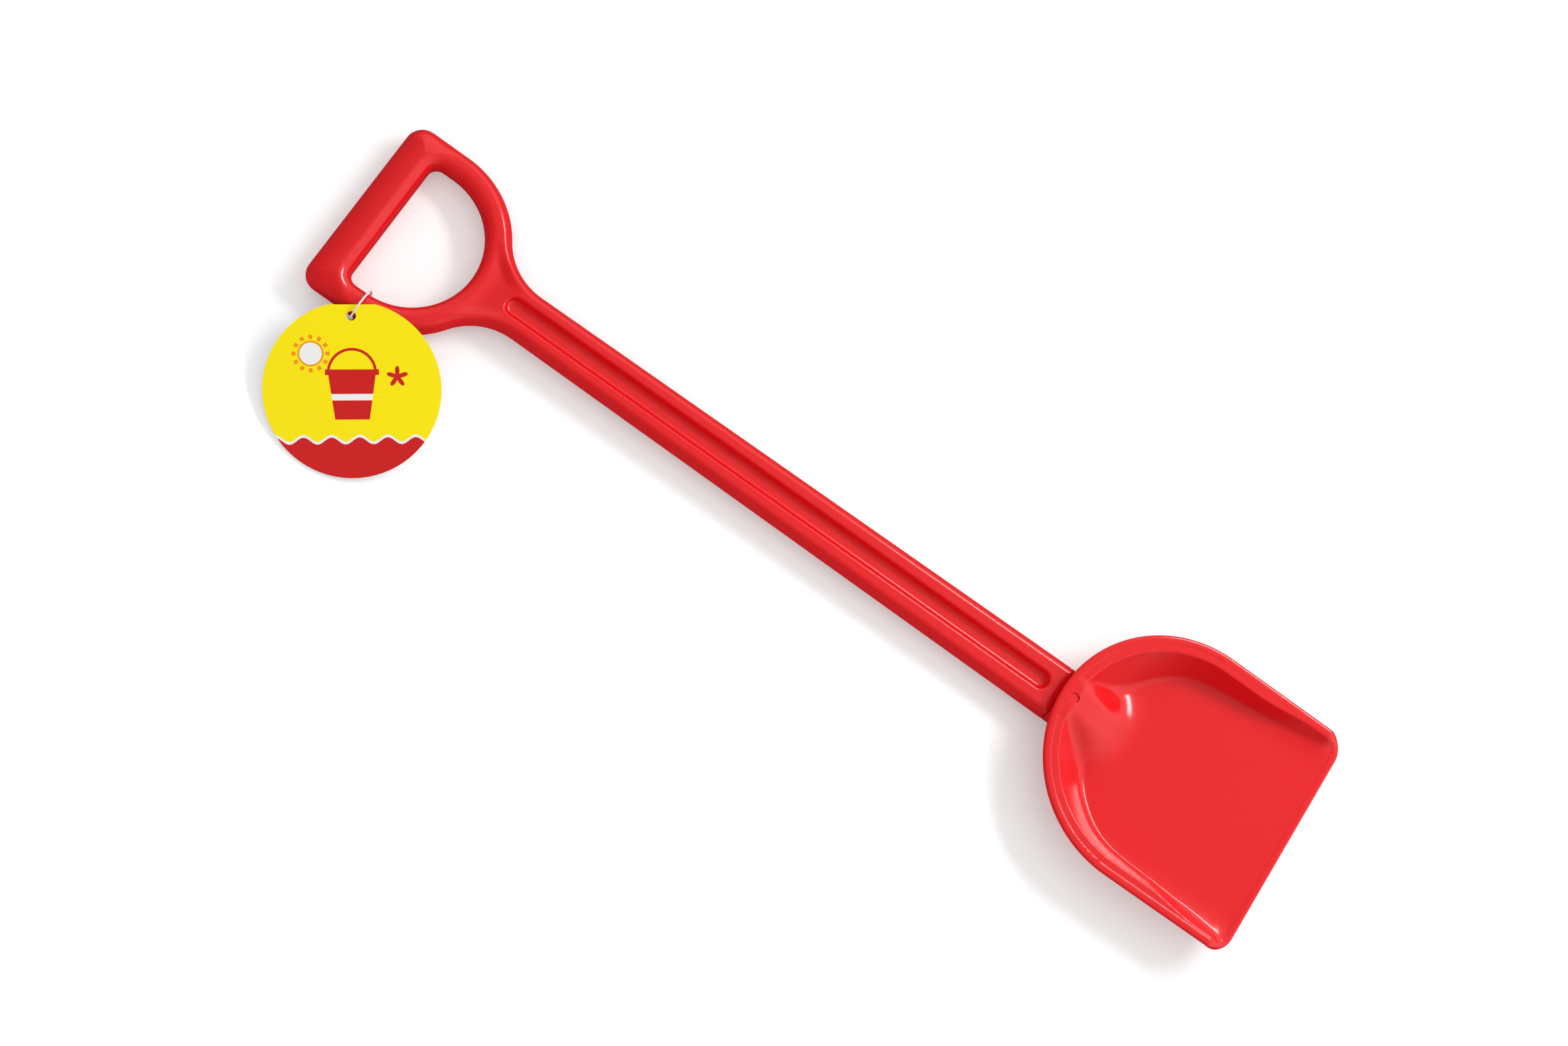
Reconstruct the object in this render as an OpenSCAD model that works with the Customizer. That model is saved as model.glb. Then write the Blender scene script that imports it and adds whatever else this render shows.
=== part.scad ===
// Child's sand shovel, lying on its back with the hollow of its blade upwards.
// +X runs from the grip to the blade, +Z is up and the ground is at Z = 0.
// The origin is on the ground under the middle of the grip bar. Millimetres.

/* [Grip] */
// Width of the D grip over its two arms
grip_w = 98; // [90:0.5:106]
// Width of the grip bar, along the shovel
bar_w = 19; // [17:0.1:20]
// Thickness of the grip bar
bar_t = 18; // [17.4:0.1:19]
// Width of each arm of the D
arm_w = 13.6; // [12.4:0.1:14]
// Thickness of each arm of the D
arm_t = 12.6; // [11.6:0.1:13]
// Rounding of the long edges of the arms
arm_edge = 5.4; // [5:0.1:5.7]
// Rounding of the long edges of the bar
bar_edge = 7.4; // [6:0.1:8.4]
// Distance from the bar's centre line to the centre of the round bow
bow_dist = 20.5; // [18:0.1:26]
// Radius of the inner corners of the grip
inner_r = 5; // [3:0.1:7]
// Radius of the hollow curves between the bow and the shaft
neck_r = 32; // [26:0.5:38]

/* [Shaft] */
// Distance from the bar's centre line to the rear rim of the blade
shaft_l = 402; // [330:1:480]
// Width of the shaft at the grip
shaft_w = 26.2; // [23:0.1:29]
// Width of the shaft at the blade
shaft_end_w = 30.6; // [27:0.1:32]
// Thickness of the shaft
shaft_t = 12.6; // [12:0.1:14]
// Rounding of the shaft's long edges
shaft_edge = 5; // [3:0.1:5.1]
// Width of the groove in the top of the shaft
groove_w = 10; // [7:0.1:12]
// Depth of the groove
groove_d = 4.2; // [2:0.1:5]
// Distance from the bar's centre line to the start of the groove
groove_x = 75.5; // [70:0.5:90]
// Distance from the end of the groove to the rear rim of the blade
groove_gap = 5; // [3:0.5:30]
// Diameter of the hollow core along the shaft
core_d = 4; // [3:0.1:4.4]

/* [Blade] */
// Length of the blade from its rear rim to its front edge
blade_l = 138.4; // [120:0.1:160]
// Width of the blade over its rim
blade_w = 126.6; // [112:0.1:140]
// Width of the blade at its front corners
front_w = 126.4; // [110:0.1:140]
// Length of the rounded rear part of the blade
rear_l = 66; // [60:0.5:76]
// Radius of the front corners
corner_r = 11; // [7:0.1:16]
// Height of the rim above the ground
rim_h = 23; // [22:0.1:27]
// Width of the flat band on the rim
rim_band = 4.5; // [3:0.1:5.5]
// Thickness of the blade
plate_t = 2.6; // [2.2:0.1:3]
// Height of the blade's upper face at the front edge
front_h = 17; // [12:0.1:19]
// Distance from the rim to the flat floor at the rear
rear_run = 25; // [22:0.1:27]
// Distance from the rim to the flat floor at the sides
side_run = 18; // [14:0.1:21]

/* [Socket] */
// Width of the tongue on the shaft's end
tongue_w = 17; // [14:0.1:18]
// Thickness of the tongue
tongue_t = 9; // [8:0.1:9.4]
// Length of the tongue
tongue_l = 18; // [15:0.5:19]
// Clearance around the tongue
tongue_gap = 0.15; // [0.05:0.05:0.3]
// Half-width of the cover over the socket, at the floor
cover_w = 17.5; // [16:0.1:20]
// Distance the cover reaches in from the rear rim, at the floor
cover_l = 46; // [43:0.5:50]
// Distance over which the cover's round end draws in, at the floor
cover_round = 20; // [16:0.1:21]
// Half-width of the cover's flat top
cover_top_w = 13.5; // [12:0.1:15]
// Distance from the rear rim to the end of the cover's top
cover_top_l = 12.4; // [12:0.1:16]
// Distance over which the round end of the cover's top draws in
cover_top_round = 8; // [6:0.1:9]
// Depth of the cover's top below the rim
cover_drop = 1.6; // [0.6:0.1:2]
// Diameter of the locking pin
pin_d = 3; // [2.4:0.1:3.4]
// Diameter of the locking pin's head
pin_head_d = 4.4; // [4:0.1:5]
// Height of the locking pin's head
pin_head_h = 0.6; // [0.4:0.1:1]
// Distance from the rear rim to the locking pin
pin_x = 7.6; // [7:0.1:9]

/* [Tag] */
// Diameter of the card tag
tag_d = 83; // [76:0.5:90]
// Thickness of the card tag
tag_t = 0.5; // [0.4:0.05:0.7]
// Length of the tag's straight top edge
tag_flat = 22.5; // [20:0.5:28]
// Distance from the straight edge to the centre of the hole
tag_hole_in = 5.4; // [5:0.1:5.6]
// Diameter of the hole in the tag
tag_hole_d = 4.4; // [4.2:0.1:5]
// Radius of the tie loop, to the middle of its strand
loop_r = 9; // [8.8:0.05:9.6]
// Diameter of the loop's strand
loop_d = 1; // [0.8:0.05:1.1]
// Distance from the bar's centre line to the tie loop
loop_x = 22; // [20:0.1:23]
// Gap between the tag, its loop and what they lean on
tag_gap = 0.4; // [0.3:0.05:0.5]

/* [Hidden] */

mid_z = bar_t / 2;                       // height of the middle of the handle
bow_r = (grip_w - arm_w) / 2;            // centre line of the bow
gap_r = grip_w / 2 - arm_w;              // inner side of the bow
bow_turn = 7.5;                          // degrees between the lines across the bow
corner_turn = 15;                        // degrees between the lines across a corner
edge_turn = 22.5;                        // degrees between the facets of a long edge
cover_turn = 7.5;                        // degrees between the lines down the cover
over = 1;                                // overrun of every cut

// Where the outer side of the bow passes into the hollow curve of the neck
neck_side = shaft_w / 2 + neck_r;
neck_x = bow_dist + sqrt(pow(grip_w / 2 + neck_r, 2) - pow(neck_side, 2));
neck_start_x = bow_dist + (neck_x - bow_dist) * (grip_w / 2) / (grip_w / 2 + neck_r);
neck_steps = 7;

seat_x = shaft_l + rim_band / 2;         // face where the shaft's shoulder meets the blade
front_x = shaft_l + blade_l;
round_x = shaft_l + rear_l;              // end of the rounded rear part
floor_rear_x = shaft_l + rear_run;
floor_slope = (front_h - plate_t) / (front_x - floor_rear_x);
cover_top_z = rim_h - cover_drop;
cover_sink = 0.8 * plate_t;              // how deep the cover's foot lies in the floor
core_z = mid_z + (shaft_t / 2 - groove_d - tongue_t / 2) / 2;
socket_share = 0.8;                      // how far the socket keeps its full section
socket_end_t = 2 * shaft_edge + tongue_gap;

// How far each line down the wall lies in from the rim's flat band, and how high it lies, as
// shares of the distance and the depth from the band to the floor.
wall_shares = [[0, 1], [0.2, 0.94], [0.35, 0.72], [0.5, 0.38], [0.65, 0.14], [0.8, 0.04], [1, 0]];
band_share = rim_band / side_run;
lead_share = plate_t / 2 / side_run;     // how far the underside of the wall lies further out

// How far each line round the cover lies in from its foot, and how high it lies, as shares
// of the distance and the height from the foot to the flat top.
cover_shares = [[0, 0], [0.25, 0.15], [0.5, 0.5], [0.75, 0.85], [1, 1]];
rear_points = 40;
side_points = 4;
corner_points = 6;
front_points = 4;
front_steps_share = 0.02;                // how far the lines draw in at the front edge

// The tag leans on the arm and its far edge rests on the ground
tag_turn = 35.7;                         // degrees between the tag's middle line and the loop
tag_centre = sqrt(pow(tag_d / 2, 2) - pow(tag_flat / 2, 2)) - tag_hole_in;
arm_reach = norm([arm_w / 2 - arm_edge, arm_t / 2 - arm_edge]) + arm_edge;
tag_off = arm_reach + tag_gap + tag_t / 2;
loop_lift = loop_r + loop_d / 2 + tag_gap - mid_z;
tag_along = sqrt(pow(loop_r, 2) - pow(tag_off - loop_lift, 2));
tag_far = tag_centre * cos(tag_turn) + tag_d / 2 + tag_along;
tag_near = tag_off - tag_t / 2;
tag_lean = asin((mid_z - tag_gap) / norm([tag_far, tag_near])) + atan(tag_near / tag_far);

// Points of a rounded rectangle of width w, thickness t and edge rounding e
function section(w, t, e) = [
    for (q = [0 : 3]) for (a = [0 : edge_turn : 90])
        let (sx = (q == 0 || q == 3) ? 1 : -1, sy = q < 2 ? 1 : -1)
        [sx * (w / 2 - e) + e * cos(90 * q + a), sy * (t / 2 - e) + e * sin(90 * q + a)]
];

// A solid through a row of rings that have as many points each
module loft(rings, closed = false) {
    n = len(rings[0]);
    m = len(rings);
    last = closed ? m - 1 : m - 2;
    sides = [
        for (r = [0 : last], i = [0 : n - 1])
            let (j = (i + 1) % n, here = r * n, next = ((r + 1) % m) * n)
            each [[here + i, next + j, here + j], [here + i, next + i, next + j]]
    ];
    ends = closed ? [] : [[for (i = [0 : n - 1]) i], [for (i = [n - 1 : -1 : 0]) (m - 1) * n + i]];
    polyhedron(points = [for (r = rings) each r], faces = concat(sides, ends), convexity = 8);
}

// Lines across the grip for its half on the +Y side, from the middle of the bar to the
// middle of the bow. Each is [outer point, inner point, thickness, edge rounding].
grip_half = concat(
    [for (a = [0 : corner_turn : 90])
        let (part = (1 - cos(2 * a)) / 2, turn = [-cos(a), sin(a)])
        [[0, grip_w / 2 - bar_w / 2] + bar_w / 2 * turn,
         [bar_w / 2 + inner_r, gap_r - inner_r] + inner_r * turn,
         bar_t + (arm_t - bar_t) * part, bar_edge + (arm_edge - bar_edge) * part]],
    [for (a = [90 : -bow_turn : 0])
        let (turn = [cos(a), sin(a)])
        [[bow_dist, 0] + grip_w / 2 * turn, [bow_dist, 0] + gap_r * turn, arm_t, arm_edge]]
);
grip_lines = concat(
    grip_half,
    [for (i = [len(grip_half) - 2 : -1 : 0])
        let (l = grip_half[i])
        [[l[0][0], -l[0][1]], [l[1][0], -l[1][1]], l[2], l[3]]]
);

module grip() {
    loft(closed = true, rings = [
        for (l = grip_lines)
            let (mid = (l[0] + l[1]) / 2, width = norm(l[0] - l[1]), out = (l[0] - l[1]) / width)
            [for (p = section(width, l[2], l[3])) [mid[0] + out[0] * p[0], mid[1] + out[1] * p[0], mid_z + p[1]]]
    ]);
}

// Half-width of the neck at a distance along the shaft
function neck_half(x) = neck_side - sqrt(pow(neck_r, 2) - pow(neck_x - x, 2));

// Sections of the neck and the shaft: [distance along the shaft, width, thickness]
bow_lap = arm_edge / 4;
bow_x = bow_dist + gap_r + bow_lap;
shaft_sections = concat(
    [[bow_x, 2 * neck_half(neck_start_x), arm_t - bow_lap]],
    [for (i = [0 : neck_steps])
        let (part = i / neck_steps, x = neck_start_x + (neck_x - neck_start_x) * part)
        [x, 2 * neck_half(x), arm_t + (shaft_t - arm_t) * part]],
    [[seat_x - tongue_gap, shaft_end_w, shaft_t]]
);

// Rings for the shaft's section at each of its distances
function across(sections) = [
    for (s = sections) [for (p = section(s[1], s[2], shaft_edge)) [s[0], p[0], mid_z + p[1]]]
];

module shaft() {
    loft(across(shaft_sections));
    translate([seat_x - over, -tongue_w / 2, mid_z - tongue_t / 2])
        cube([over + tongue_l, tongue_w, tongue_t]);
}

module groove() {
    hull() for (x = [groove_x + groove_w / 2, shaft_l - groove_gap - groove_w / 2]) {
        translate([x, 0, mid_z + shaft_t / 2])
            cylinder(d = groove_w, h = over, $fn = 32);
        translate([x, 0, mid_z + shaft_t / 2 - groove_d])
            cylinder(d = groove_w - groove_d / 2, h = over, $fn = 32);
    }
}

// Hole for the locking pin through the tongue
module pin_hole(gap) {
    translate([shaft_l + pin_x, 0, mid_z - tongue_t / 2 - over])
        cylinder(d = pin_d + 2 * gap, h = rim_h, $fn = 32);
}

module handle() {
    color("#e6282c") difference() {
        union() {
            grip();
            shaft();
        }
        groove();
        pin_hole(tongue_gap);
        translate([neck_x, 0, core_z])
            rotate([0, 90, 0])
                cylinder(d = core_d, h = seat_x + tongue_l + over - neck_x, $fn = 24);
    }
}

// Height of the plane of the blade's floor
function floor_z(x) = plate_t + floor_slope * (x - floor_rear_x);

// Points round the blade, from the right rear to the left front and back along the front
// edge. Each is [place on the rim, place on the floor's edge, share of the rim's height].
side_step = (front_x - corner_r - round_x) / side_points;
rear_half = blade_w / 2;
floor_half = blade_w / 2 - side_run;
front_floor_half = front_w / 2 - side_run;
side_lines = [
    for (i = [0 : side_points - 1])
        let (part = i / side_points, x = round_x + i * side_step)
        [[x, rear_half + (front_w / 2 - rear_half) * part],
         [x, floor_half + (front_floor_half - floor_half) * part], 1]
];
corner_lines = [
    for (i = [0 : corner_points])
        let (a = 90 * i / corner_points, rise = (1 + cos(2 * a)) / 2)
        [[front_x - corner_r + corner_r * sin(a), front_w / 2 - corner_r + corner_r * cos(a)],
         [front_x - corner_r * (1 - i / corner_points) - blade_l * front_steps_share, front_floor_half], rise]
];
half_lines = concat(
    [for (i = [1 : rear_points / 2 - 1])
        let (a = 180 * i / rear_points)
        [[round_x - rear_l * cos(a), rear_half * sin(a)],
         [round_x - (rear_l - rear_run) * cos(a), floor_half * sin(a)], 1]],
    side_lines,
    corner_lines,
    [for (i = [1 : front_points - 1])
        let (part = 1 - i / front_points)
        [[front_x, (front_w / 2 - corner_r) * part],
         [front_x - blade_l * front_steps_share, front_floor_half * part], 0]]
);
rear_line = [[[shaft_l, 0], [floor_rear_x, 0], 1]];
front_line = [[[front_x, 0], [front_x - blade_l * front_steps_share, 0], 0]];
count = len(half_lines);
blade_lines = concat(
    rear_line,
    half_lines,
    front_line,
    [for (i = [count - 1 : -1 : 0])
        let (l = half_lines[i])
        [[l[0][0], -l[0][1]], [l[1][0], -l[1][1]], l[2]]]
);

// A ring round the blade at a share of the way from the rim in to the floor, at a share of
// the height from the floor up to the rim, led down by the thickness of the blade or not
function ring(in_share, high_share, drop) = [
    for (l = blade_lines)
        let (p = l[0] + (l[1] - l[0]) * in_share, z = floor_z(p[0]))
        [p[0], p[1], z + (rim_h - z) * high_share * l[2] - drop]
];

// A ring at a line of the wall, led outwards by a share of the distance to the floor
function wall_ring(s, lead, drop) = ring(band_share + (1 - band_share) * s[0] - lead, s[1], drop);

module scoop() {
    loft(concat(
        [for (i = [len(wall_shares) - 1 : -1 : 0]) wall_ring(wall_shares[i], 0, 0)],
        [ring(0, 1, 0), ring(0, 1, plate_t)],
        [for (s = wall_shares) wall_ring(s, s[1] > 0 ? lead_share : 0, plate_t)]
    ));
}

// Outline of half-width w with a straight rear end and a round front end
function tongue_line(rear_x, end_x, w, draw) = concat(
    [[rear_x, -w]],
    [for (a = [-90 : cover_turn : 90]) [end_x - draw + draw * cos(a), w * sin(a)]],
    [[rear_x, w]]
);

// Cover over the tongue inside the scoop, from within the floor up to its flat top
module cover() {
    foot = tongue_line(floor_rear_x, shaft_l + cover_l, cover_w, cover_round);
    top = tongue_line(seat_x, shaft_l + cover_top_l, cover_top_w, cover_top_round);
    loft([
        for (s = cover_shares) [
            for (i = [0 : len(foot) - 1])
                let (p = foot[i] + (top[i] - foot[i]) * s[0], z = floor_z(foot[i][0]) - cover_sink)
                [p[0], p[1], z + (cover_top_z - z) * s[1]]
        ]
    ]);
}

module blade() {
    color("#e6282c") difference() {
        union() {
            scoop();
            cover();
            loft(across([
                [seat_x, shaft_end_w, shaft_t],
                [seat_x + tongue_l * socket_share, shaft_end_w, shaft_t],
                [floor_rear_x, tongue_w, socket_end_t]
            ]));
        }
        translate([seat_x - over, -tongue_w / 2 - tongue_gap, mid_z - tongue_t / 2 - tongue_gap])
            cube([over + tongue_l + 2 * tongue_gap, tongue_w + 2 * tongue_gap, tongue_t + 2 * tongue_gap]);
        pin_hole(tongue_gap);
        translate([shaft_l + pin_x, 0, cover_top_z])
            cylinder(d = pin_head_d + 2 * tongue_gap, h = rim_h, $fn = 32);
    }
}

module lock_pin() {
    color("#d8242a") translate([shaft_l + pin_x, 0, 0]) {
        translate([0, 0, mid_z - tongue_t / 2])
            cylinder(d = pin_d, h = cover_top_z - mid_z + tongue_t / 2, $fn = 32);
        translate([0, 0, cover_top_z])
            cylinder(d = pin_head_d, h = pin_head_h, $fn = 32);
    }
}

module tag_loop() {
    color("#f2f2f0") translate([loop_x, -bow_r, mid_z])
        rotate([tag_lean, 0, 0])
            translate([0, 0, loop_lift])
                rotate([0, 90, 0])
                    rotate_extrude($fn = 64)
                        translate([loop_r, 0])
                            circle(d = loop_d, $fn = 24);
}

// The tag in its own plane, with the hole at the origin and the tag's middle line along -Y
module tag_shape() {
    linear_extrude(tag_t, center = true) difference() {
        intersection() {
            translate([0, -tag_centre])
                circle(d = tag_d, $fn = 96);
            translate([-tag_d / 2, tag_hole_in - tag_d])
                square([tag_d, tag_d]);
        }
        circle(d = tag_hole_d, $fn = 32);
    }
}

module tag_card() {
    color("#ffe600") translate([loop_x, -bow_r, mid_z])
        rotate([tag_lean, 0, 0])
            translate([0, -tag_along, tag_off])
                rotate([0, 0, tag_turn])
                    tag_shape();
}

handle();
blade();
lock_pin();
tag_loop();
tag_card();
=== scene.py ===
"""Looks of a child's sand shovel around its CAD solids, in metres."""

import bpy
import numpy as np
from mathutils import Matrix, Vector


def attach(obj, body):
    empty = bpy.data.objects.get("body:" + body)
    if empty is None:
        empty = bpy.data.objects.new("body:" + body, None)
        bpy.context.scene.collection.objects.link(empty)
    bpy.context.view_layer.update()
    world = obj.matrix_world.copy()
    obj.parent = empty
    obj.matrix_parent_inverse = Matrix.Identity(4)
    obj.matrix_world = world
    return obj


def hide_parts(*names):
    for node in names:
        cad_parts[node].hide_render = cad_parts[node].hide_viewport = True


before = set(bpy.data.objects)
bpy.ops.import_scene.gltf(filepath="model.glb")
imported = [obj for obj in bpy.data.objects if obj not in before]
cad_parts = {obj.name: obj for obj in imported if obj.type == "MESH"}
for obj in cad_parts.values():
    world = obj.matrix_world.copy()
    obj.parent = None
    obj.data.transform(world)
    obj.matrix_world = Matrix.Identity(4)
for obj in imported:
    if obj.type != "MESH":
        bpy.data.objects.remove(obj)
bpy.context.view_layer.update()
MM = 0.001

# Sizes of the handle in millimetres, as in the solids
MID_Z = 9.0
GRIP_HALF = 49.0
BAR_W = 19.0
BAR_T = 18.0
ARM_W = 13.6
ARM_T = 12.6
BOW_X = 20.5
INNER_R = 5.0
NECK_R = 32.0
NECK_SIDE = 45.1
NECK_X = BOW_X + np.sqrt((GRIP_HALF + NECK_R) ** 2 - NECK_SIDE**2)
SHAFT_T = 12.6
SHAFT_HALF = 13.1
SHAFT_GROWTH = 2.2
SEAT_X = 404.25
GROOVE_FROM = 80.5
GROOVE_TO = 392
GROOVE_R = 5.0
GROOVE_D = 4.2
TONGUE_END = 422.25
TONGUE_HALF = 8.5
TONGUE_T = 9.0
TONGUE_GAP = 0.15

# Sizes of the blade in millimetres, as in the solids
RIM_X = 402.0
ROUND_X = 468.0
FRONT_X = 540.4
SIDE_HALF = 63.3
SIDE_TAPER = 0.1 / 72
CORNER_R = 11.0
RIM_TOP = 23.0
PLATE = 2.6
FLOOR_X = 427.0
FRONT_Z = 17.0
SLOPE = (FRONT_Z - PLATE) / (FRONT_X - FLOOR_X)
COVER_Z = 21.4
PIN_X = 409.6

# Shape of the grip in the looks: each pair says where along x, or how far in, a change starts and ends
BAR_FADE = (2, 17)
BOW_FADE = (41, 48)
BOW_SWELL = 0.5
SHAFT_OVERLAP = 12
DISH_X = 66
DISH_LENGTH = 9
DISH_EDGE = (3.5, 10)
DISH_DEPTH = 2.4
PARTING_H = 1.2
SIDE_LEAN = 4.0
BAR_LEAN = 3.0
SIDE_SOFT = 3.0
RIDGE_SOFT = 1.3
BAR_RIDGE_SOFT = 5.5
INNER_SOFT = 5.8
BAR_INNER_SOFT = 1.4
SHOULDER_SOFT = 0.8
GROOVE_LEAN = 0.32
GROOVE_SOFT = 2.2
GROOVE_LIP_SOFT = 0.9
TONGUE_ROOT = 400
TONGUE_SOFT = 0.5

# Shape of the blade in the looks, with falls as height lost for each millimetre inwards
LIP = 0.3
LIP_EDGE = (3.7, 4.2)
RIM_Z = RIM_TOP - LIP
RIM_IN = 4.0
RIM_FALL = 0.05
RIM_BEND_SOFT = 1.0
WALL_IN = 7.9
WALL_SOFT = 0.4
WALL_TOP_SOFT = 0.8
FRONT_WALL_OUT = 3.1
REAR_PART = (430, 480)
FRONT_PART = (488, 522)
REAR_FALL = 1.0
SIDE_FALL = 1.0
FRONT_FALL = 0.95
FOOT_IN = 23
FOOT_BEND = 0.0145
FOOT_LIMIT = 19
FOOT_SOFT = 1.0
REAR_FOOT_SOFT = 3
CORNER_FADE = (FRONT_X - 12, FRONT_X + 0.5)
COVER_FADE = (412, 455)
COVER_SIDE = (4, 30)
COVER_SINK = 0.6
COVER_SOFT = 6.0
RIM_CAP = 0.15
RIM_CAP_SOFT = 0.3
FACE_SOFT = 0.8
RIM_SOFT = 2.0
SOCKET_END = 427
SOCKET_END_SOFT = 2.0
SOCKET_DRAW = (416, 428)
SOCKET_DRAW_IN = 1.6
SOCKET_SOFT = 0.5
POCKET_SOFT = 0.4
PIN_HOLE_R = 1.65
PIN_HOLE_FOOT = 3
PIN_SEAT_R = 2.3
STRETCH_REACH = 0.05

# Shapes as signed distances


def smooth_max(a, b, k):
    h = np.clip(0.5 + 0.5 * (a - b) / k, 0, 1)
    return b + (a - b) * h + k * h * (1 - h)


def smooth_min(a, b, k):
    return -smooth_max(-a, -b, k)


def rounded(a, b, r):
    """Both distances at once, with the edge between them rounded to the radius r."""
    return np.hypot(np.maximum(a + r, 0), np.maximum(b + r, 0)) + np.minimum(np.maximum(a, b) + r, 0) - r


def step(x, a, b):
    t = np.clip((x - a) / (b - a), 0, 1)
    return t * t * (3 - 2 * t)


def box_field(x, y, z, lo, hi, r):
    qx = np.abs(x - (lo[0] + hi[0]) / 2) - (hi[0] - lo[0]) / 2
    qy = np.abs(y - (lo[1] + hi[1]) / 2) - (hi[1] - lo[1]) / 2
    qz = np.abs(z - (lo[2] + hi[2]) / 2) - (hi[2] - lo[2]) / 2
    return rounded(rounded(qx, qy, r), qz, r)


def d_shape(x, y, left, half, r):
    """Outline of a D: square corners of radius r on the left and a half round on the right."""
    box = rounded(left - x, np.abs(y) - half, r)
    return np.where(x > BOW_X, np.hypot(x - BOW_X, y) - half, box)


def handle_outline(x, y):
    """Distance to the outline of the grip and the shaft, with the neck's hollow curves."""
    ay = np.abs(y)
    outer = d_shape(x, y, -BAR_W / 2, GRIP_HALF, BAR_W / 2)
    half = SHAFT_HALF + SHAFT_GROWTH * np.clip((x - NECK_X) / (SEAT_X - NECK_X), 0, 1)
    shaft = np.maximum(ay - half, BOW_X + GRIP_HALF - SHAFT_OVERLAP - x)
    outer = np.minimum(outer, shaft)
    # Hollow curve of the neck, seen from its centre
    nx, ny = x - NECK_X, ay - NECK_SIDE
    to_x, to_y = BOW_X - NECK_X, -NECK_SIDE
    in_neck = (nx <= 0) & (ny < 0) & (to_x * ny - to_y * nx >= 0)
    return np.where(in_neck, np.maximum(NECK_R - np.hypot(nx, ny), BOW_X - x), outer)


def handle_field(x, y, z):
    """The grip and its shaft, which runs on without an end."""
    h = np.abs(z - MID_Z)
    outer = handle_outline(x, y)
    inner = -d_shape(x, y, BAR_W / 2, GRIP_HALF - ARM_W, INNER_R)
    bar = 1 - step(x, *BAR_FADE)
    half_t = (ARM_T + (BAR_T - ARM_T) * bar) / 2
    bow = 1 - step(np.hypot(x - BOW_X, y), *BOW_FADE)
    # The neck is dished between its two ridges
    dish = np.exp(-(((x - DISH_X) / DISH_LENGTH) ** 2)) * step(-outer, *DISH_EDGE)
    half_t = half_t + BOW_SWELL * bow * (1 - bar) - DISH_DEPTH * dish
    # Side that leans in from the mould's parting line up to the ridge
    inset = SIDE_LEAN + BAR_LEAN * bar
    rise = half_t - PARTING_H
    run = np.hypot(inset, rise)
    lean = (outer + inset) * (rise / run) + (h - half_t) * (inset / run)
    side = smooth_max(lean, outer, SIDE_SOFT)
    body = smooth_max(side, h - half_t, RIDGE_SOFT + BAR_RIDGE_SOFT * bar)
    return np.maximum(body, rounded(inner, h - half_t, INNER_SOFT + BAR_INNER_SOFT * bar))


def groove_field(x, y, z):
    depth = MID_Z + SHAFT_T / 2 - z
    plan = np.hypot(x - np.clip(x, GROOVE_FROM, GROOVE_TO), y) - GROOVE_R
    wall = (plan + GROOVE_LEAN * depth) / np.hypot(1, GROOVE_LEAN)
    return smooth_max(wall, depth - GROOVE_D, GROOVE_SOFT)


def tongue_field(x, y, z, gap, r):
    """The tongue, or with a gap the pocket that it sits in."""
    half, half_t = TONGUE_HALF + gap, TONGUE_T / 2 + gap
    low = (TONGUE_ROOT, -half, MID_Z - half_t)
    high = (TONGUE_END + 2 * gap, half, MID_Z + half_t)
    return box_field(x, y, z, low, high, r)


def handle(x, y, z):
    f = smooth_max(handle_field(x, y, z), x - (SEAT_X - TONGUE_GAP), SHOULDER_SOFT)
    f = smooth_max(f, -groove_field(x, y, z), GROOVE_LIP_SOFT)
    return np.minimum(f, tongue_field(x, y, z, 0, TONGUE_SOFT))


def floor_z(x):
    return PLATE + SLOPE * (x - FLOOR_X)


def blade_side(x, y):
    """Distance to the side of the blade, run on past its front corners."""
    ay = np.abs(y)
    # Quarter of an ellipse at the rear
    length = ROUND_X - RIM_X
    px = x - ROUND_X
    k0 = np.hypot(px / length, ay / SIDE_HALF)
    k1 = np.hypot(px / length**2, ay / SIDE_HALF**2)
    rear = k0 * (k0 - 1) / np.maximum(k1, 1e-6)
    return np.where(x < ROUND_X, rear, ay - (SIDE_HALF - SIDE_TAPER * px))


def hollow_z(x, side, d):
    """Height of the scoop's upper face, without the cover."""
    ground = floor_z(x)
    depth = RIM_Z - ground
    rear = 1 - step(x, *REAR_PART)
    front = step(x, *FRONT_PART)
    # A nearly level rim, a steep straight wall and a wide soft foot
    fall = REAR_FALL + SIDE_FALL * (1 - rear) - FRONT_FALL * front
    rim = RIM_FALL * smooth_max(-side - RIM_IN, 0, RIM_BEND_SOFT)
    wall = depth - rim - fall * smooth_max(-side - WALL_IN + FRONT_WALL_OUT * front, 0, WALL_SOFT)
    foot = FOOT_BEND * np.clip(FOOT_IN + side, 0, FOOT_LIMIT) ** 2
    high = smooth_max(wall, foot, FOOT_SOFT + REAR_FOOT_SOFT * rear)
    high = smooth_min(high, depth, WALL_TOP_SOFT)
    # The rim sinks to the front edge at each front corner
    rise = ground + high * (1 - step(x, *CORNER_FADE))
    return rise + LIP * (1 - step(-d, *LIP_EDGE))


def cover_z(x, y):
    """Soft ramp over the socket, flat at the rim."""
    low = floor_z(x) - COVER_SINK
    share = (1 - step(x, *COVER_FADE)) * (1 - step(np.abs(y), *COVER_SIDE))
    return low + (COVER_Z - low) * share


def blade_heights(x, y):
    """Distance to the blade's outline, and its upper face without and with the cover."""
    side = blade_side(x, y)
    d = np.where(x < ROUND_X, side, rounded(side, x - FRONT_X, CORNER_R))
    bare = hollow_z(x, side, d)
    top = smooth_max(bare, cover_z(x, y), COVER_SOFT)
    return d, bare, smooth_min(top, RIM_Z + RIM_CAP, RIM_CAP_SOFT)


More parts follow.
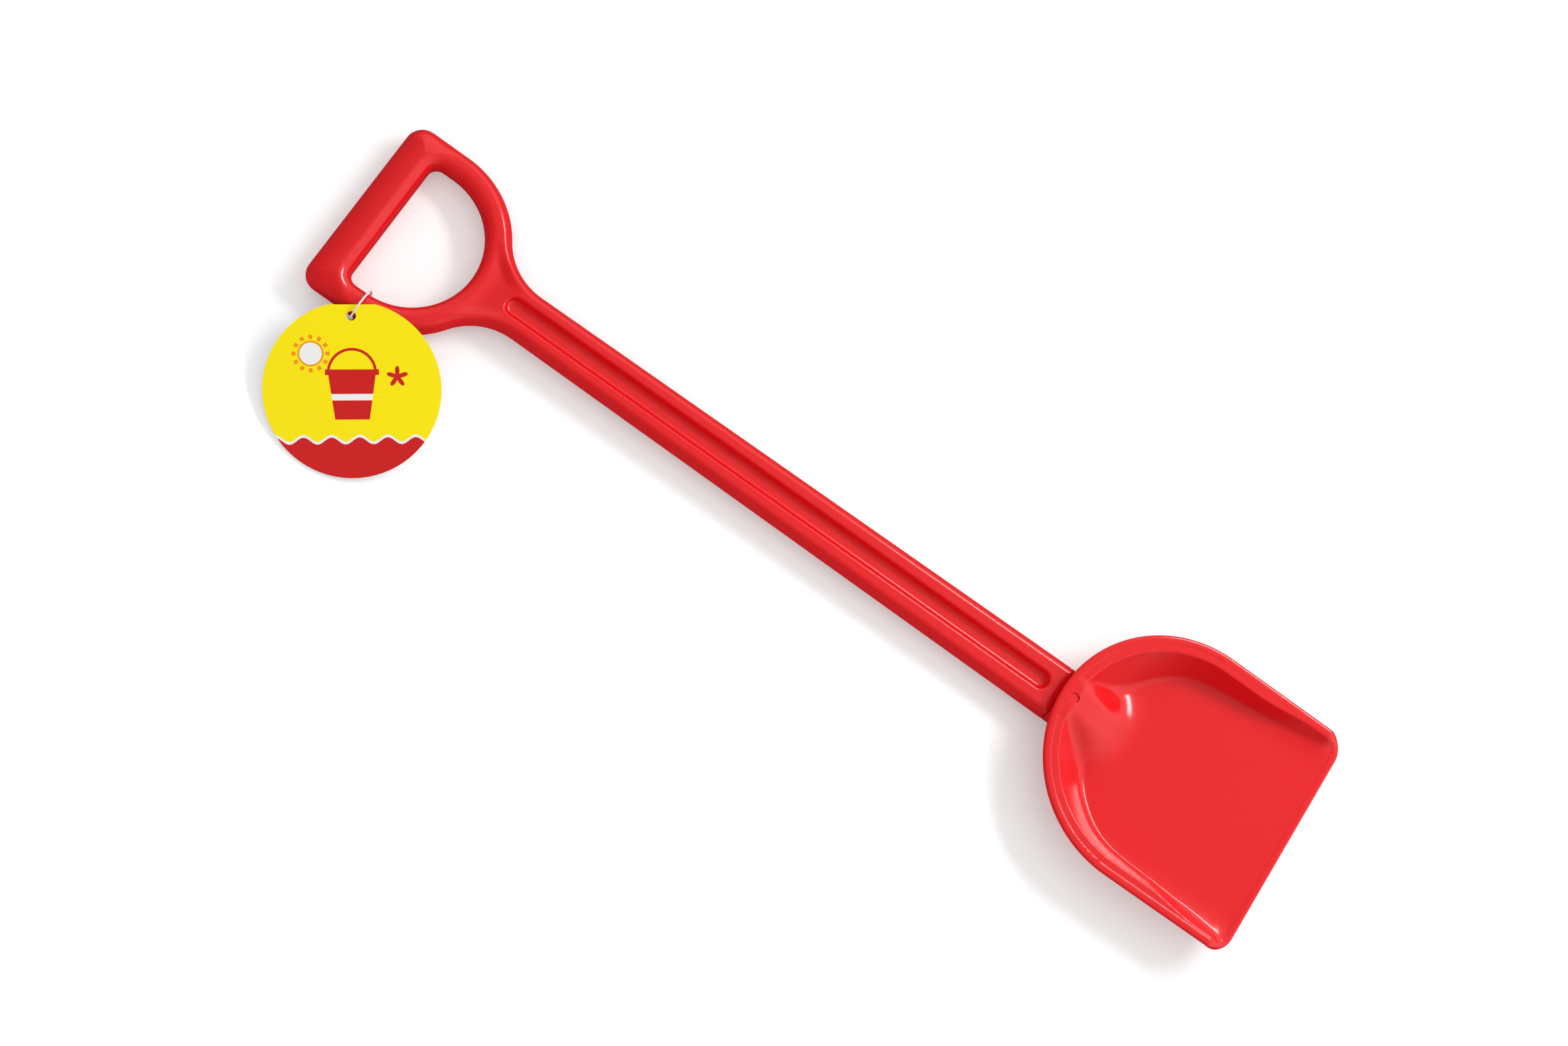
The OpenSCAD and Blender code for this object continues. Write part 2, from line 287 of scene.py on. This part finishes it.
def stretch_of(which, x, y):
    """How much longer than its plan a face of the blade is at each place."""
    e = STRETCH_REACH
    gx = (blade_heights(x + e, y)[which] - blade_heights(x - e, y)[which]) / (2 * e)
    gy = (blade_heights(x, y + e)[which] - blade_heights(x, y - e)[which]) / (2 * e)
    return np.sqrt(1 + gx * gx + gy * gy)


def socket_field(x, y, z):
    """The shaft's section run on under the rim, drawn in at its end."""
    f = handle_field(np.minimum(x, SEAT_X), y, z) + SOCKET_DRAW_IN * step(x, *SOCKET_DRAW)
    return smooth_max(f, x - SOCKET_END, SOCKET_END_SOFT)


def blade(x, y, z):
    d, bare, top = blade_heights(x, y)
    upper = (z - top) / stretch_of(2, x, y)
    lower = -(z - bare) / stretch_of(1, x, y) - PLATE
    f = smooth_max(smooth_max(upper, lower, FACE_SOFT), d, RIM_SOFT)
    # The socket stays below the upper face
    boss = np.maximum(np.maximum(socket_field(x, y, z), SEAT_X - x), upper)
    f = smooth_min(f, boss, SOCKET_SOFT)
    f = np.maximum(f, -tongue_field(x, y, z, TONGUE_GAP, POCKET_SOFT))
    from_pin = np.hypot(x - PIN_X, y)
    hole = np.maximum(from_pin - PIN_HOLE_R, PIN_HOLE_FOOT - z)
    seat = np.maximum(from_pin - PIN_SEAT_R, COVER_Z - z)
    return np.maximum(f, -np.minimum(hole, seat))


# Meshes from those shapes

HANDLE_BOX = ((-10.2, -49.8, -0.9), (429, 49.8, 18.9))
HANDLE_CELL = 0.8
BLADE_BOX = ((401.1, -64.2, -0.9), (541, 64.2, 23.9))
BLADE_CELL = 0.65
SLAB = 64
ROUNDS = 3
MOVE_REACH = 0.04
LEAST_SLOPE = 0.2
NORMAL_REACH = 0.12


def value_and_slope(field, p, e):
    x, y, z = p.T
    g = np.stack(
        [
            field(x + e, y, z) - field(x - e, y, z),
            field(x, y + e, z) - field(x, y - e, z),
            field(x, y, z + e) - field(x, y, z - e),
        ],
        1,
    ) / (2 * e)
    return field(x, y, z), g


def cell_points(v, n):
    """Cells that the zero level passes through, and its middle in each of them."""
    inside = v < 0
    c = np.zeros(n - 1, np.int8)
    for dx in (0, 1):
        for dy in (0, 1):
            for dz in (0, 1):
                c += inside[dx : n[0] - 1 + dx, dy : n[1] - 1 + dy, dz : n[2] - 1 + dz]
    cells = np.argwhere((c > 0) & (c < 8))
    total = np.zeros((len(cells), 3))
    count = np.zeros(len(cells))
    corners = [np.array([i & 1, (i >> 1) & 1, i >> 2]) for i in range(8)]
    for a in range(8):
        for bit in (1, 2, 4):
            if a & bit:
                continue
            pa, pb = corners[a], corners[a | bit]
            va = v[tuple((cells + pa).T)]
            vb = v[tuple((cells + pb).T)]
            cross = (va < 0) != (vb < 0)
            t = np.where(cross, va / np.where(cross, va - vb, 1), 0)
            total += np.where(cross[:, None], pa + t[:, None] * (pb - pa), 0)
            count += cross
    return cells, cells + total / count[:, None]


def cell_quads(v, n, cells):
    """Faces between cells: one for each edge of the grid that the zero level crosses."""
    inside = v < 0
    index = np.full(n - 1, -1, np.int64)
    index[tuple(cells.T)] = np.arange(len(cells))
    quads = []
    for ax in range(3):
        u, w = (ax + 1) % 3, (ax + 2) % 3
        s = [slice(None)] * 3
        e = [slice(None)] * 3
        s[ax], e[ax] = slice(0, -1), slice(1, None)
        edges = np.argwhere(inside[tuple(s)] != inside[tuple(e)])
        within = (edges[:, u] > 0) & (edges[:, w] > 0) & (edges[:, u] < n[u] - 1) & (edges[:, w] < n[w] - 1)
        edges = edges[within]
        out = inside[tuple(edges.T)]
        ids = []
        for du, dw in ((0, 0), (-1, 0), (-1, -1), (0, -1)):
            q = edges.copy()
            q[:, u] += du
            q[:, w] += dw
            ids.append(index[tuple(q.T)])
        q = np.stack(ids, 1)
        quads.append(np.where(out[:, None], q, q[:, ::-1]))
    return np.concatenate(quads)


def surface(name, field, box, cell):
    """A smooth mesh of the zero level of a field inside a box, in millimetres."""
    lo, hi = box
    n = np.ceil((np.array(hi) - lo) / cell).astype(int) + 1
    axes = [lo[i] + cell * np.arange(n[i]) for i in range(3)]
    v = np.empty(n, np.float32)
    for i0 in range(0, n[0], SLAB):
        gx, gy, gz = np.meshgrid(axes[0][i0 : i0 + SLAB], axes[1], axes[2], indexing="ij")
        v[i0 : i0 + SLAB] = field(gx, gy, gz)
    cells, places = cell_points(v, n)
    points = np.array(lo) + cell * places
    quads = cell_quads(v, n, cells)
    # Each point moves onto the shape, by half a cell at most
    for _ in range(ROUNDS):
        f, g = value_and_slope(field, points, MOVE_REACH)
        move = f[:, None] * g / np.maximum((g * g).sum(1), LEAST_SLOPE)[:, None]
        points -= np.clip(move, -cell / 2, cell / 2)
    _, normals = value_and_slope(field, points, NORMAL_REACH)
    normals /= np.linalg.norm(normals, axis=1)[:, None]
    mesh = bpy.data.meshes.new(name)
    mesh.from_pydata(points * MM, [], quads.tolist())
    mesh.shade_smooth()
    mesh.normals_split_custom_set_from_vertices(normals)
    mesh.update()
    made = bpy.data.objects.new(name, mesh)
    bpy.context.scene.collection.objects.link(made)
    return made


# Materials


class Nodes:
    """Short ways to add shader nodes to a new material or world."""

    def __init__(self, owner):
        self.owner = owner
        self.owner.use_nodes = True
        self.tree = owner.node_tree

    def add(self, kind, inputs=None, **props):
        node = self.tree.nodes.new(kind)
        for k, val in props.items():
            setattr(node, k, val)
        for k, val in (inputs or {}).items():
            self.put(node.inputs[k], val)
        return node

    def put(self, socket, val):
        if isinstance(val, bpy.types.NodeSocket):
            self.tree.links.new(val, socket)
        else:
            socket.default_value = val

    def math(self, op, a, b=0.0, c=0.0):
        return self.add("ShaderNodeMath", {0: a, 1: b, 2: c}, operation=op).outputs[0]

    def dot(self, vector, direction):
        inputs = {0: vector, 1: direction}
        return self.add("ShaderNodeVectorMath", inputs, operation="DOT_PRODUCT").outputs["Value"]

    def mix(self, fac, a, b):
        return self.add("ShaderNodeMix", {0: fac, 6: a, 7: b}, data_type="RGBA").outputs[2]

    def noise(self, place, scale, detail, **more):
        inputs = {"Vector": place, "Scale": scale, "Detail": detail, **more}
        return self.add("ShaderNodeTexNoise", inputs).outputs["Fac"]

    def place(self):
        return self.add("ShaderNodeTexCoord").outputs["Object"]

    def bump(self, height, strength, distance, **more):
        inputs = {"Height": height, "Strength": strength, "Distance": distance, **more}
        return self.add("ShaderNodeBump", inputs).outputs[0]

    def set(self, name, val):
        self.put(self.tree.nodes["Principled BSDF"].inputs[name], val)


def new_material(name):
    return Nodes(bpy.data.materials.new(name))


def red_plastic(name, colour, dark):
    m = new_material(name)
    place = m.place()
    m.set("Base Color", m.mix(m.noise(place, 14.0, 2.0), dark, colour))
    # Fine scuffs in the gloss, and a very low wave and grain in the face
    scuff = m.noise(place, 160.0, 5.0, Roughness=0.7)
    gloss = {"Value": scuff, "From Min": 0.35, "From Max": 0.75, "To Min": 0.13, "To Max": 0.2}
    m.set("Roughness", m.add("ShaderNodeMapRange", gloss).outputs[0])
    wave = m.bump(m.noise(place, 45.0, 1.0), 0.03, 0.0008)
    m.set("Normal", m.bump(m.noise(place, 900.0, 3.0), 0.05, 0.00005, Normal=wave))
    m.set("IOR", 1.52)
    return m.owner


def white_thread():
    m = new_material("loop_thread")
    fine = m.noise(m.place(), 1500.0, 2.0)
    m.set("Base Color", m.mix(fine, (0.75, 0.78, 0.8, 1), (0.92, 0.92, 0.92, 1)))
    m.set("Roughness", 0.35)
    m.set("Transmission Weight", 0.15)
    m.set("Normal", m.bump(fine, 0.2, 0.00005))
    return m.owner


# Where the tag's card lies: its hole, its tilt about x, its turn in its plane, and hole to middle
TAG_HOLE = Vector((22.0, -49.573, 15.302)) * MM
TAG_LEAN = np.radians(12.166)
TAG_TURN = np.radians(35.7)
TAG_CENTRE = 34.546

# Print on the card, in millimetres from its middle: u to the right and v towards its straight edge
PAIL_HALF, PAIL_DRAFT, PAIL_FOOT, PAIL_TOP = 10.0, 0.143, -14.0, 7.0
BAND_FOOT, BAND_TOP = -5.0, -2.0
PAIL_RIM_HALF, PAIL_RIM_FOOT, PAIL_RIM_TOP = 12.5, 6.9, 9.5
ARC_V, ARC_INNER, ARC_OUTER, ARC_FOOT = 8.0, 10.3, 11.6, 9.4
SUN_U, SUN_V, SUN_R, SUN_RING_R = -19.0, 17.0, 5.2, 6.0
RAY_INNER, RAY_OUTER, RAYS, RAY_GAP = 6.9, 8.8, 12.0, 0.2
STAR_U, STAR_V, STAR_R, STAR_SWING, STAR_ARMS = 21.0, 6.0, 3.4, 1.7, 5.0
WAVE_V, WAVE_HEIGHT, WAVE_TURN, FOAM = -24.0, 1.6, 0.483, 1.3
PRINT_FACE = 0.1


def printed_card():
    """Yellow card with a red pail, a sun and a starfish over a wavy red foot."""
    m = new_material("printed_card")
    place = m.place()
    ct, st, cl, sl = np.cos(TAG_TURN), np.sin(TAG_TURN), np.cos(TAG_LEAN), np.sin(TAG_LEAN)

    def along(axis, start):
        """Distance in millimetres along an axis of the card."""
        axis = Vector(axis) / MM
        return m.math("ADD", m.dot(place, axis), start - axis.dot(TAG_HOLE))

    u = along((ct, st * cl, st * sl), 0)
    v = along((-st, ct * cl, ct * sl), TAG_CENTRE)
    w = along((0, -sl, cl), 0)

    def less(a, b):
        return m.math("LESS_THAN", a, b)

    def both(*parts):
        out = parts[0]
        for part in parts[1:]:
            out = m.math("MULTIPLY", out, part)
        return out

    def between(low, value, high):
        return both(less(low, value), less(value, high))

    def polar(cu, cv):
        """Distance from a place on the card and the angle round it."""
        du, dv = m.math("SUBTRACT", u, cu), m.math("SUBTRACT", v, cv)
        square = m.math("ADD", m.math("MULTIPLY", du, du), m.math("MULTIPLY", dv, dv))
        return m.math("POWER", square, 0.5), m.math("ARCTAN2", du, dv)

    def ripple(angle, times):
        return m.math("COSINE", m.math("MULTIPLY", angle, times))

    red, white, orange = (0.64, 0.012, 0.012, 1), (0.9, 0.9, 0.88, 1), (0.95, 0.3, 0.01, 1)
    fibre = m.noise(place, 1200.0, 3.0)
    ink = m.mix(fibre, (1.0, 0.8, 0.0, 1), (1.0, 0.84, 0.0, 1))
    au = m.math("ABSOLUTE", u)
    # Pail with a white band, a rim and an arc for its handle
    half = m.math("MULTIPLY_ADD", v, PAIL_DRAFT, PAIL_HALF)
    pail = both(less(au, half), between(PAIL_FOOT, v, PAIL_TOP))
    rim = both(less(au, PAIL_RIM_HALF), between(PAIL_RIM_FOOT, v, PAIL_RIM_TOP))
    from_arc, _ = polar(0.0, ARC_V)
    arc = both(between(ARC_INNER, from_arc, ARC_OUTER), less(ARC_FOOT, v))
    for part in (pail, rim, arc):
        ink = m.mix(part, ink, red)
    ink = m.mix(both(pail, between(BAND_FOOT, v, BAND_TOP)), ink, white)
    # Sun with a ring and rays
    from_sun, round_sun = polar(SUN_U, SUN_V)
    rays = both(less(RAY_GAP, ripple(round_sun, RAYS)), between(RAY_INNER, from_sun, RAY_OUTER))
    ink = m.mix(m.math("MAXIMUM", rays, less(from_sun, SUN_RING_R)), ink, orange)
    ink = m.mix(less(from_sun, SUN_R), ink, white)
    # Starfish
    from_star, round_star = polar(STAR_U, STAR_V)
    reach = m.math("MULTIPLY_ADD", ripple(round_star, STAR_ARMS), STAR_SWING, STAR_R)
    ink = m.mix(less(from_star, reach), ink, red)
    # Wavy foot
    wave = m.math("MULTIPLY_ADD", m.math("SINE", m.math("MULTIPLY", u, WAVE_TURN)), WAVE_HEIGHT, WAVE_V)
    ink = m.mix(less(v, m.math("ADD", wave, FOAM)), ink, white)
    ink = m.mix(less(v, wave), ink, red)
    # The print is on the upper face only
    m.set("Base Color", m.mix(less(PRINT_FACE, w), (0.85, 0.85, 0.83, 1), ink))
    m.set("Roughness", 0.6)
    m.set("Specular IOR Level", 0.2)
    m.set("Normal", m.bump(fibre, 0.1, 0.00003))
    return m.owner


# Pieces


def dress(obj, mat):
    obj.data.materials.clear()
    obj.data.materials.append(mat)


plastic = red_plastic("red_plastic", (0.775, 0.0075, 0.011, 1), (0.74, 0.006, 0.009, 1))

grip = surface("handle_shape", handle, HANDLE_BOX, HANDLE_CELL)
dress(grip, plastic)
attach(grip, "shovel")
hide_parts("handle")

scoop = surface("blade_shape", blade, BLADE_BOX, BLADE_CELL)
dress(scoop, plastic)
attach(scoop, "shovel")
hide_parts("blade")

# The pin's red is lighter than the rest of the plastic: painted light, so that its flat head shows as a
# small light spot
pin_red_painted_lit = red_plastic("pin_red_painted_lit", (0.84, 0.009, 0.018, 1), (0.8, 0.008, 0.016, 1))
dress(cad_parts["lock_pin"], pin_red_painted_lit)
dress(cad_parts["tag_loop"], white_thread())
dress(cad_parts["tag_card"], printed_card())

# Floor

FLOOR_HALF = 6.0
FLOOR_PLACE = (0.25, 0, -0.0002)
FLOOR_GLOW = 0.25

paper = new_material("floor_paper")
grain = paper.add("ShaderNodeTexNoise", {"Scale": 400.0, "Detail": 2.0}).outputs["Fac"]
white = paper.mix(grain, (0.8, 0.8, 0.8, 1), (0.83, 0.83, 0.83, 1))
path = paper.add("ShaderNodeLightPath").outputs
# The sheen on the plastic sees the floor darker than the camera does
paper.set("Base Color", paper.mix(path["Is Glossy Ray"], white, (0.08, 0.08, 0.08, 1)))
paper.set("Roughness", 0.9)
paper.set("Emission Color", (1, 1, 1, 1))
paper.set("Emission Strength", paper.math("MULTIPLY", path["Is Camera Ray"], FLOOR_GLOW))

floor_mesh = bpy.data.meshes.new("floor")
floor_corners = [(sx * FLOOR_HALF, sy * FLOOR_HALF, 0) for sx, sy in ((-1, -1), (1, -1), (1, 1), (-1, 1))]
floor_mesh.from_pydata(floor_corners, [], [(0, 1, 2, 3)])
floor = bpy.data.objects.new("floor", floor_mesh)
floor.location = FLOOR_PLACE
bpy.context.scene.collection.objects.link(floor)
dress(floor, paper.owner)

# World: even light for the colours, and a sheen that fades away from the lamp's side

LAMP_SIDE = (0.62, 0.7, 0.25)
LAMP_FADE = (-0.5, 0.95)
TOP_FADE = (0.72, 0.97)
EVEN = (0.66, 0.92)
SIDE_SHEEN = (0.15, 1.1)
TOP_SHEEN = (1.0, 0.6)

studio = Nodes(bpy.data.worlds.new("studio"))
to = studio.add("ShaderNodeTexCoord").outputs["Generated"]


def world_range(direction, fade, out):
    """A brightness that changes smoothly along a direction across the sky."""
    along = studio.dot(to, Vector(direction).normalized())
    inputs = {"Value": along, "From Min": fade[0], "From Max": fade[1], "To Min": out[0], "To Max": out[1]}
    return studio.add("ShaderNodeMapRange", inputs, interpolation_type="SMOOTHSTEP").outputs[0]


even = world_range(LAMP_SIDE, LAMP_FADE, EVEN)
side_sheen = world_range(LAMP_SIDE, LAMP_FADE, SIDE_SHEEN)
sheen = studio.math("MULTIPLY", side_sheen, world_range((0, 0, 1), TOP_FADE, TOP_SHEEN))
glossy = studio.add("ShaderNodeLightPath").outputs["Is Glossy Ray"]
strength = studio.math("MULTIPLY_ADD", glossy, studio.math("SUBTRACT", sheen, even), even)
background = studio.tree.nodes["Background"]
studio.put(background.inputs["Color"], (1, 1, 1, 1))
studio.put(background.inputs["Strength"], strength)
bpy.context.scene.world = studio.owner

# Lamp

PANEL_SIZE = (0.75, 0.2)
PANEL_POWER = 9.0
PANEL_PLACE = Vector((0.79, 0.86, 0.87))
PANEL_AIM = Vector((0.35, 0, 0))

panel_data = bpy.data.lights.new("soft_panel", "AREA")
panel_data.shape = "RECTANGLE"
panel_data.size, panel_data.size_y = PANEL_SIZE
panel_data.energy = PANEL_POWER
panel = bpy.data.objects.new("soft_panel", panel_data)
panel.location = PANEL_PLACE
panel.rotation_mode = "QUATERNION"
panel.rotation_quaternion = (PANEL_AIM - PANEL_PLACE).to_track_quat("-Z", "Y")
bpy.context.scene.collection.objects.link(panel)

# Camera: its right, up and backward directions, and its place

CAMERA_AXES = (
    (0.814091, 0.54419, 0.202762),
    (-0.575116, 0.803935, 0.151428),
    (-0.080602, -0.239888, 0.967448),
)
CAMERA_PLACE = (0.162273, -0.257293, 1.009861)
PHOTO_WIDTH_PX = 2350
FOCAL_PX = 3200
SENSOR = 36

cam_data = bpy.data.cameras.new("camera")
cam_data.sensor_width = SENSOR
cam_data.lens = FOCAL_PX * SENSOR / PHOTO_WIDTH_PX
camera = bpy.data.objects.new("camera", cam_data)
camera.matrix_world = Matrix.Translation(CAMERA_PLACE) @ Matrix(CAMERA_AXES).transposed().to_4x4()
bpy.context.scene.collection.objects.link(camera)
bpy.context.scene.camera = camera
bpy.context.scene.view_settings.view_transform = "Standard"
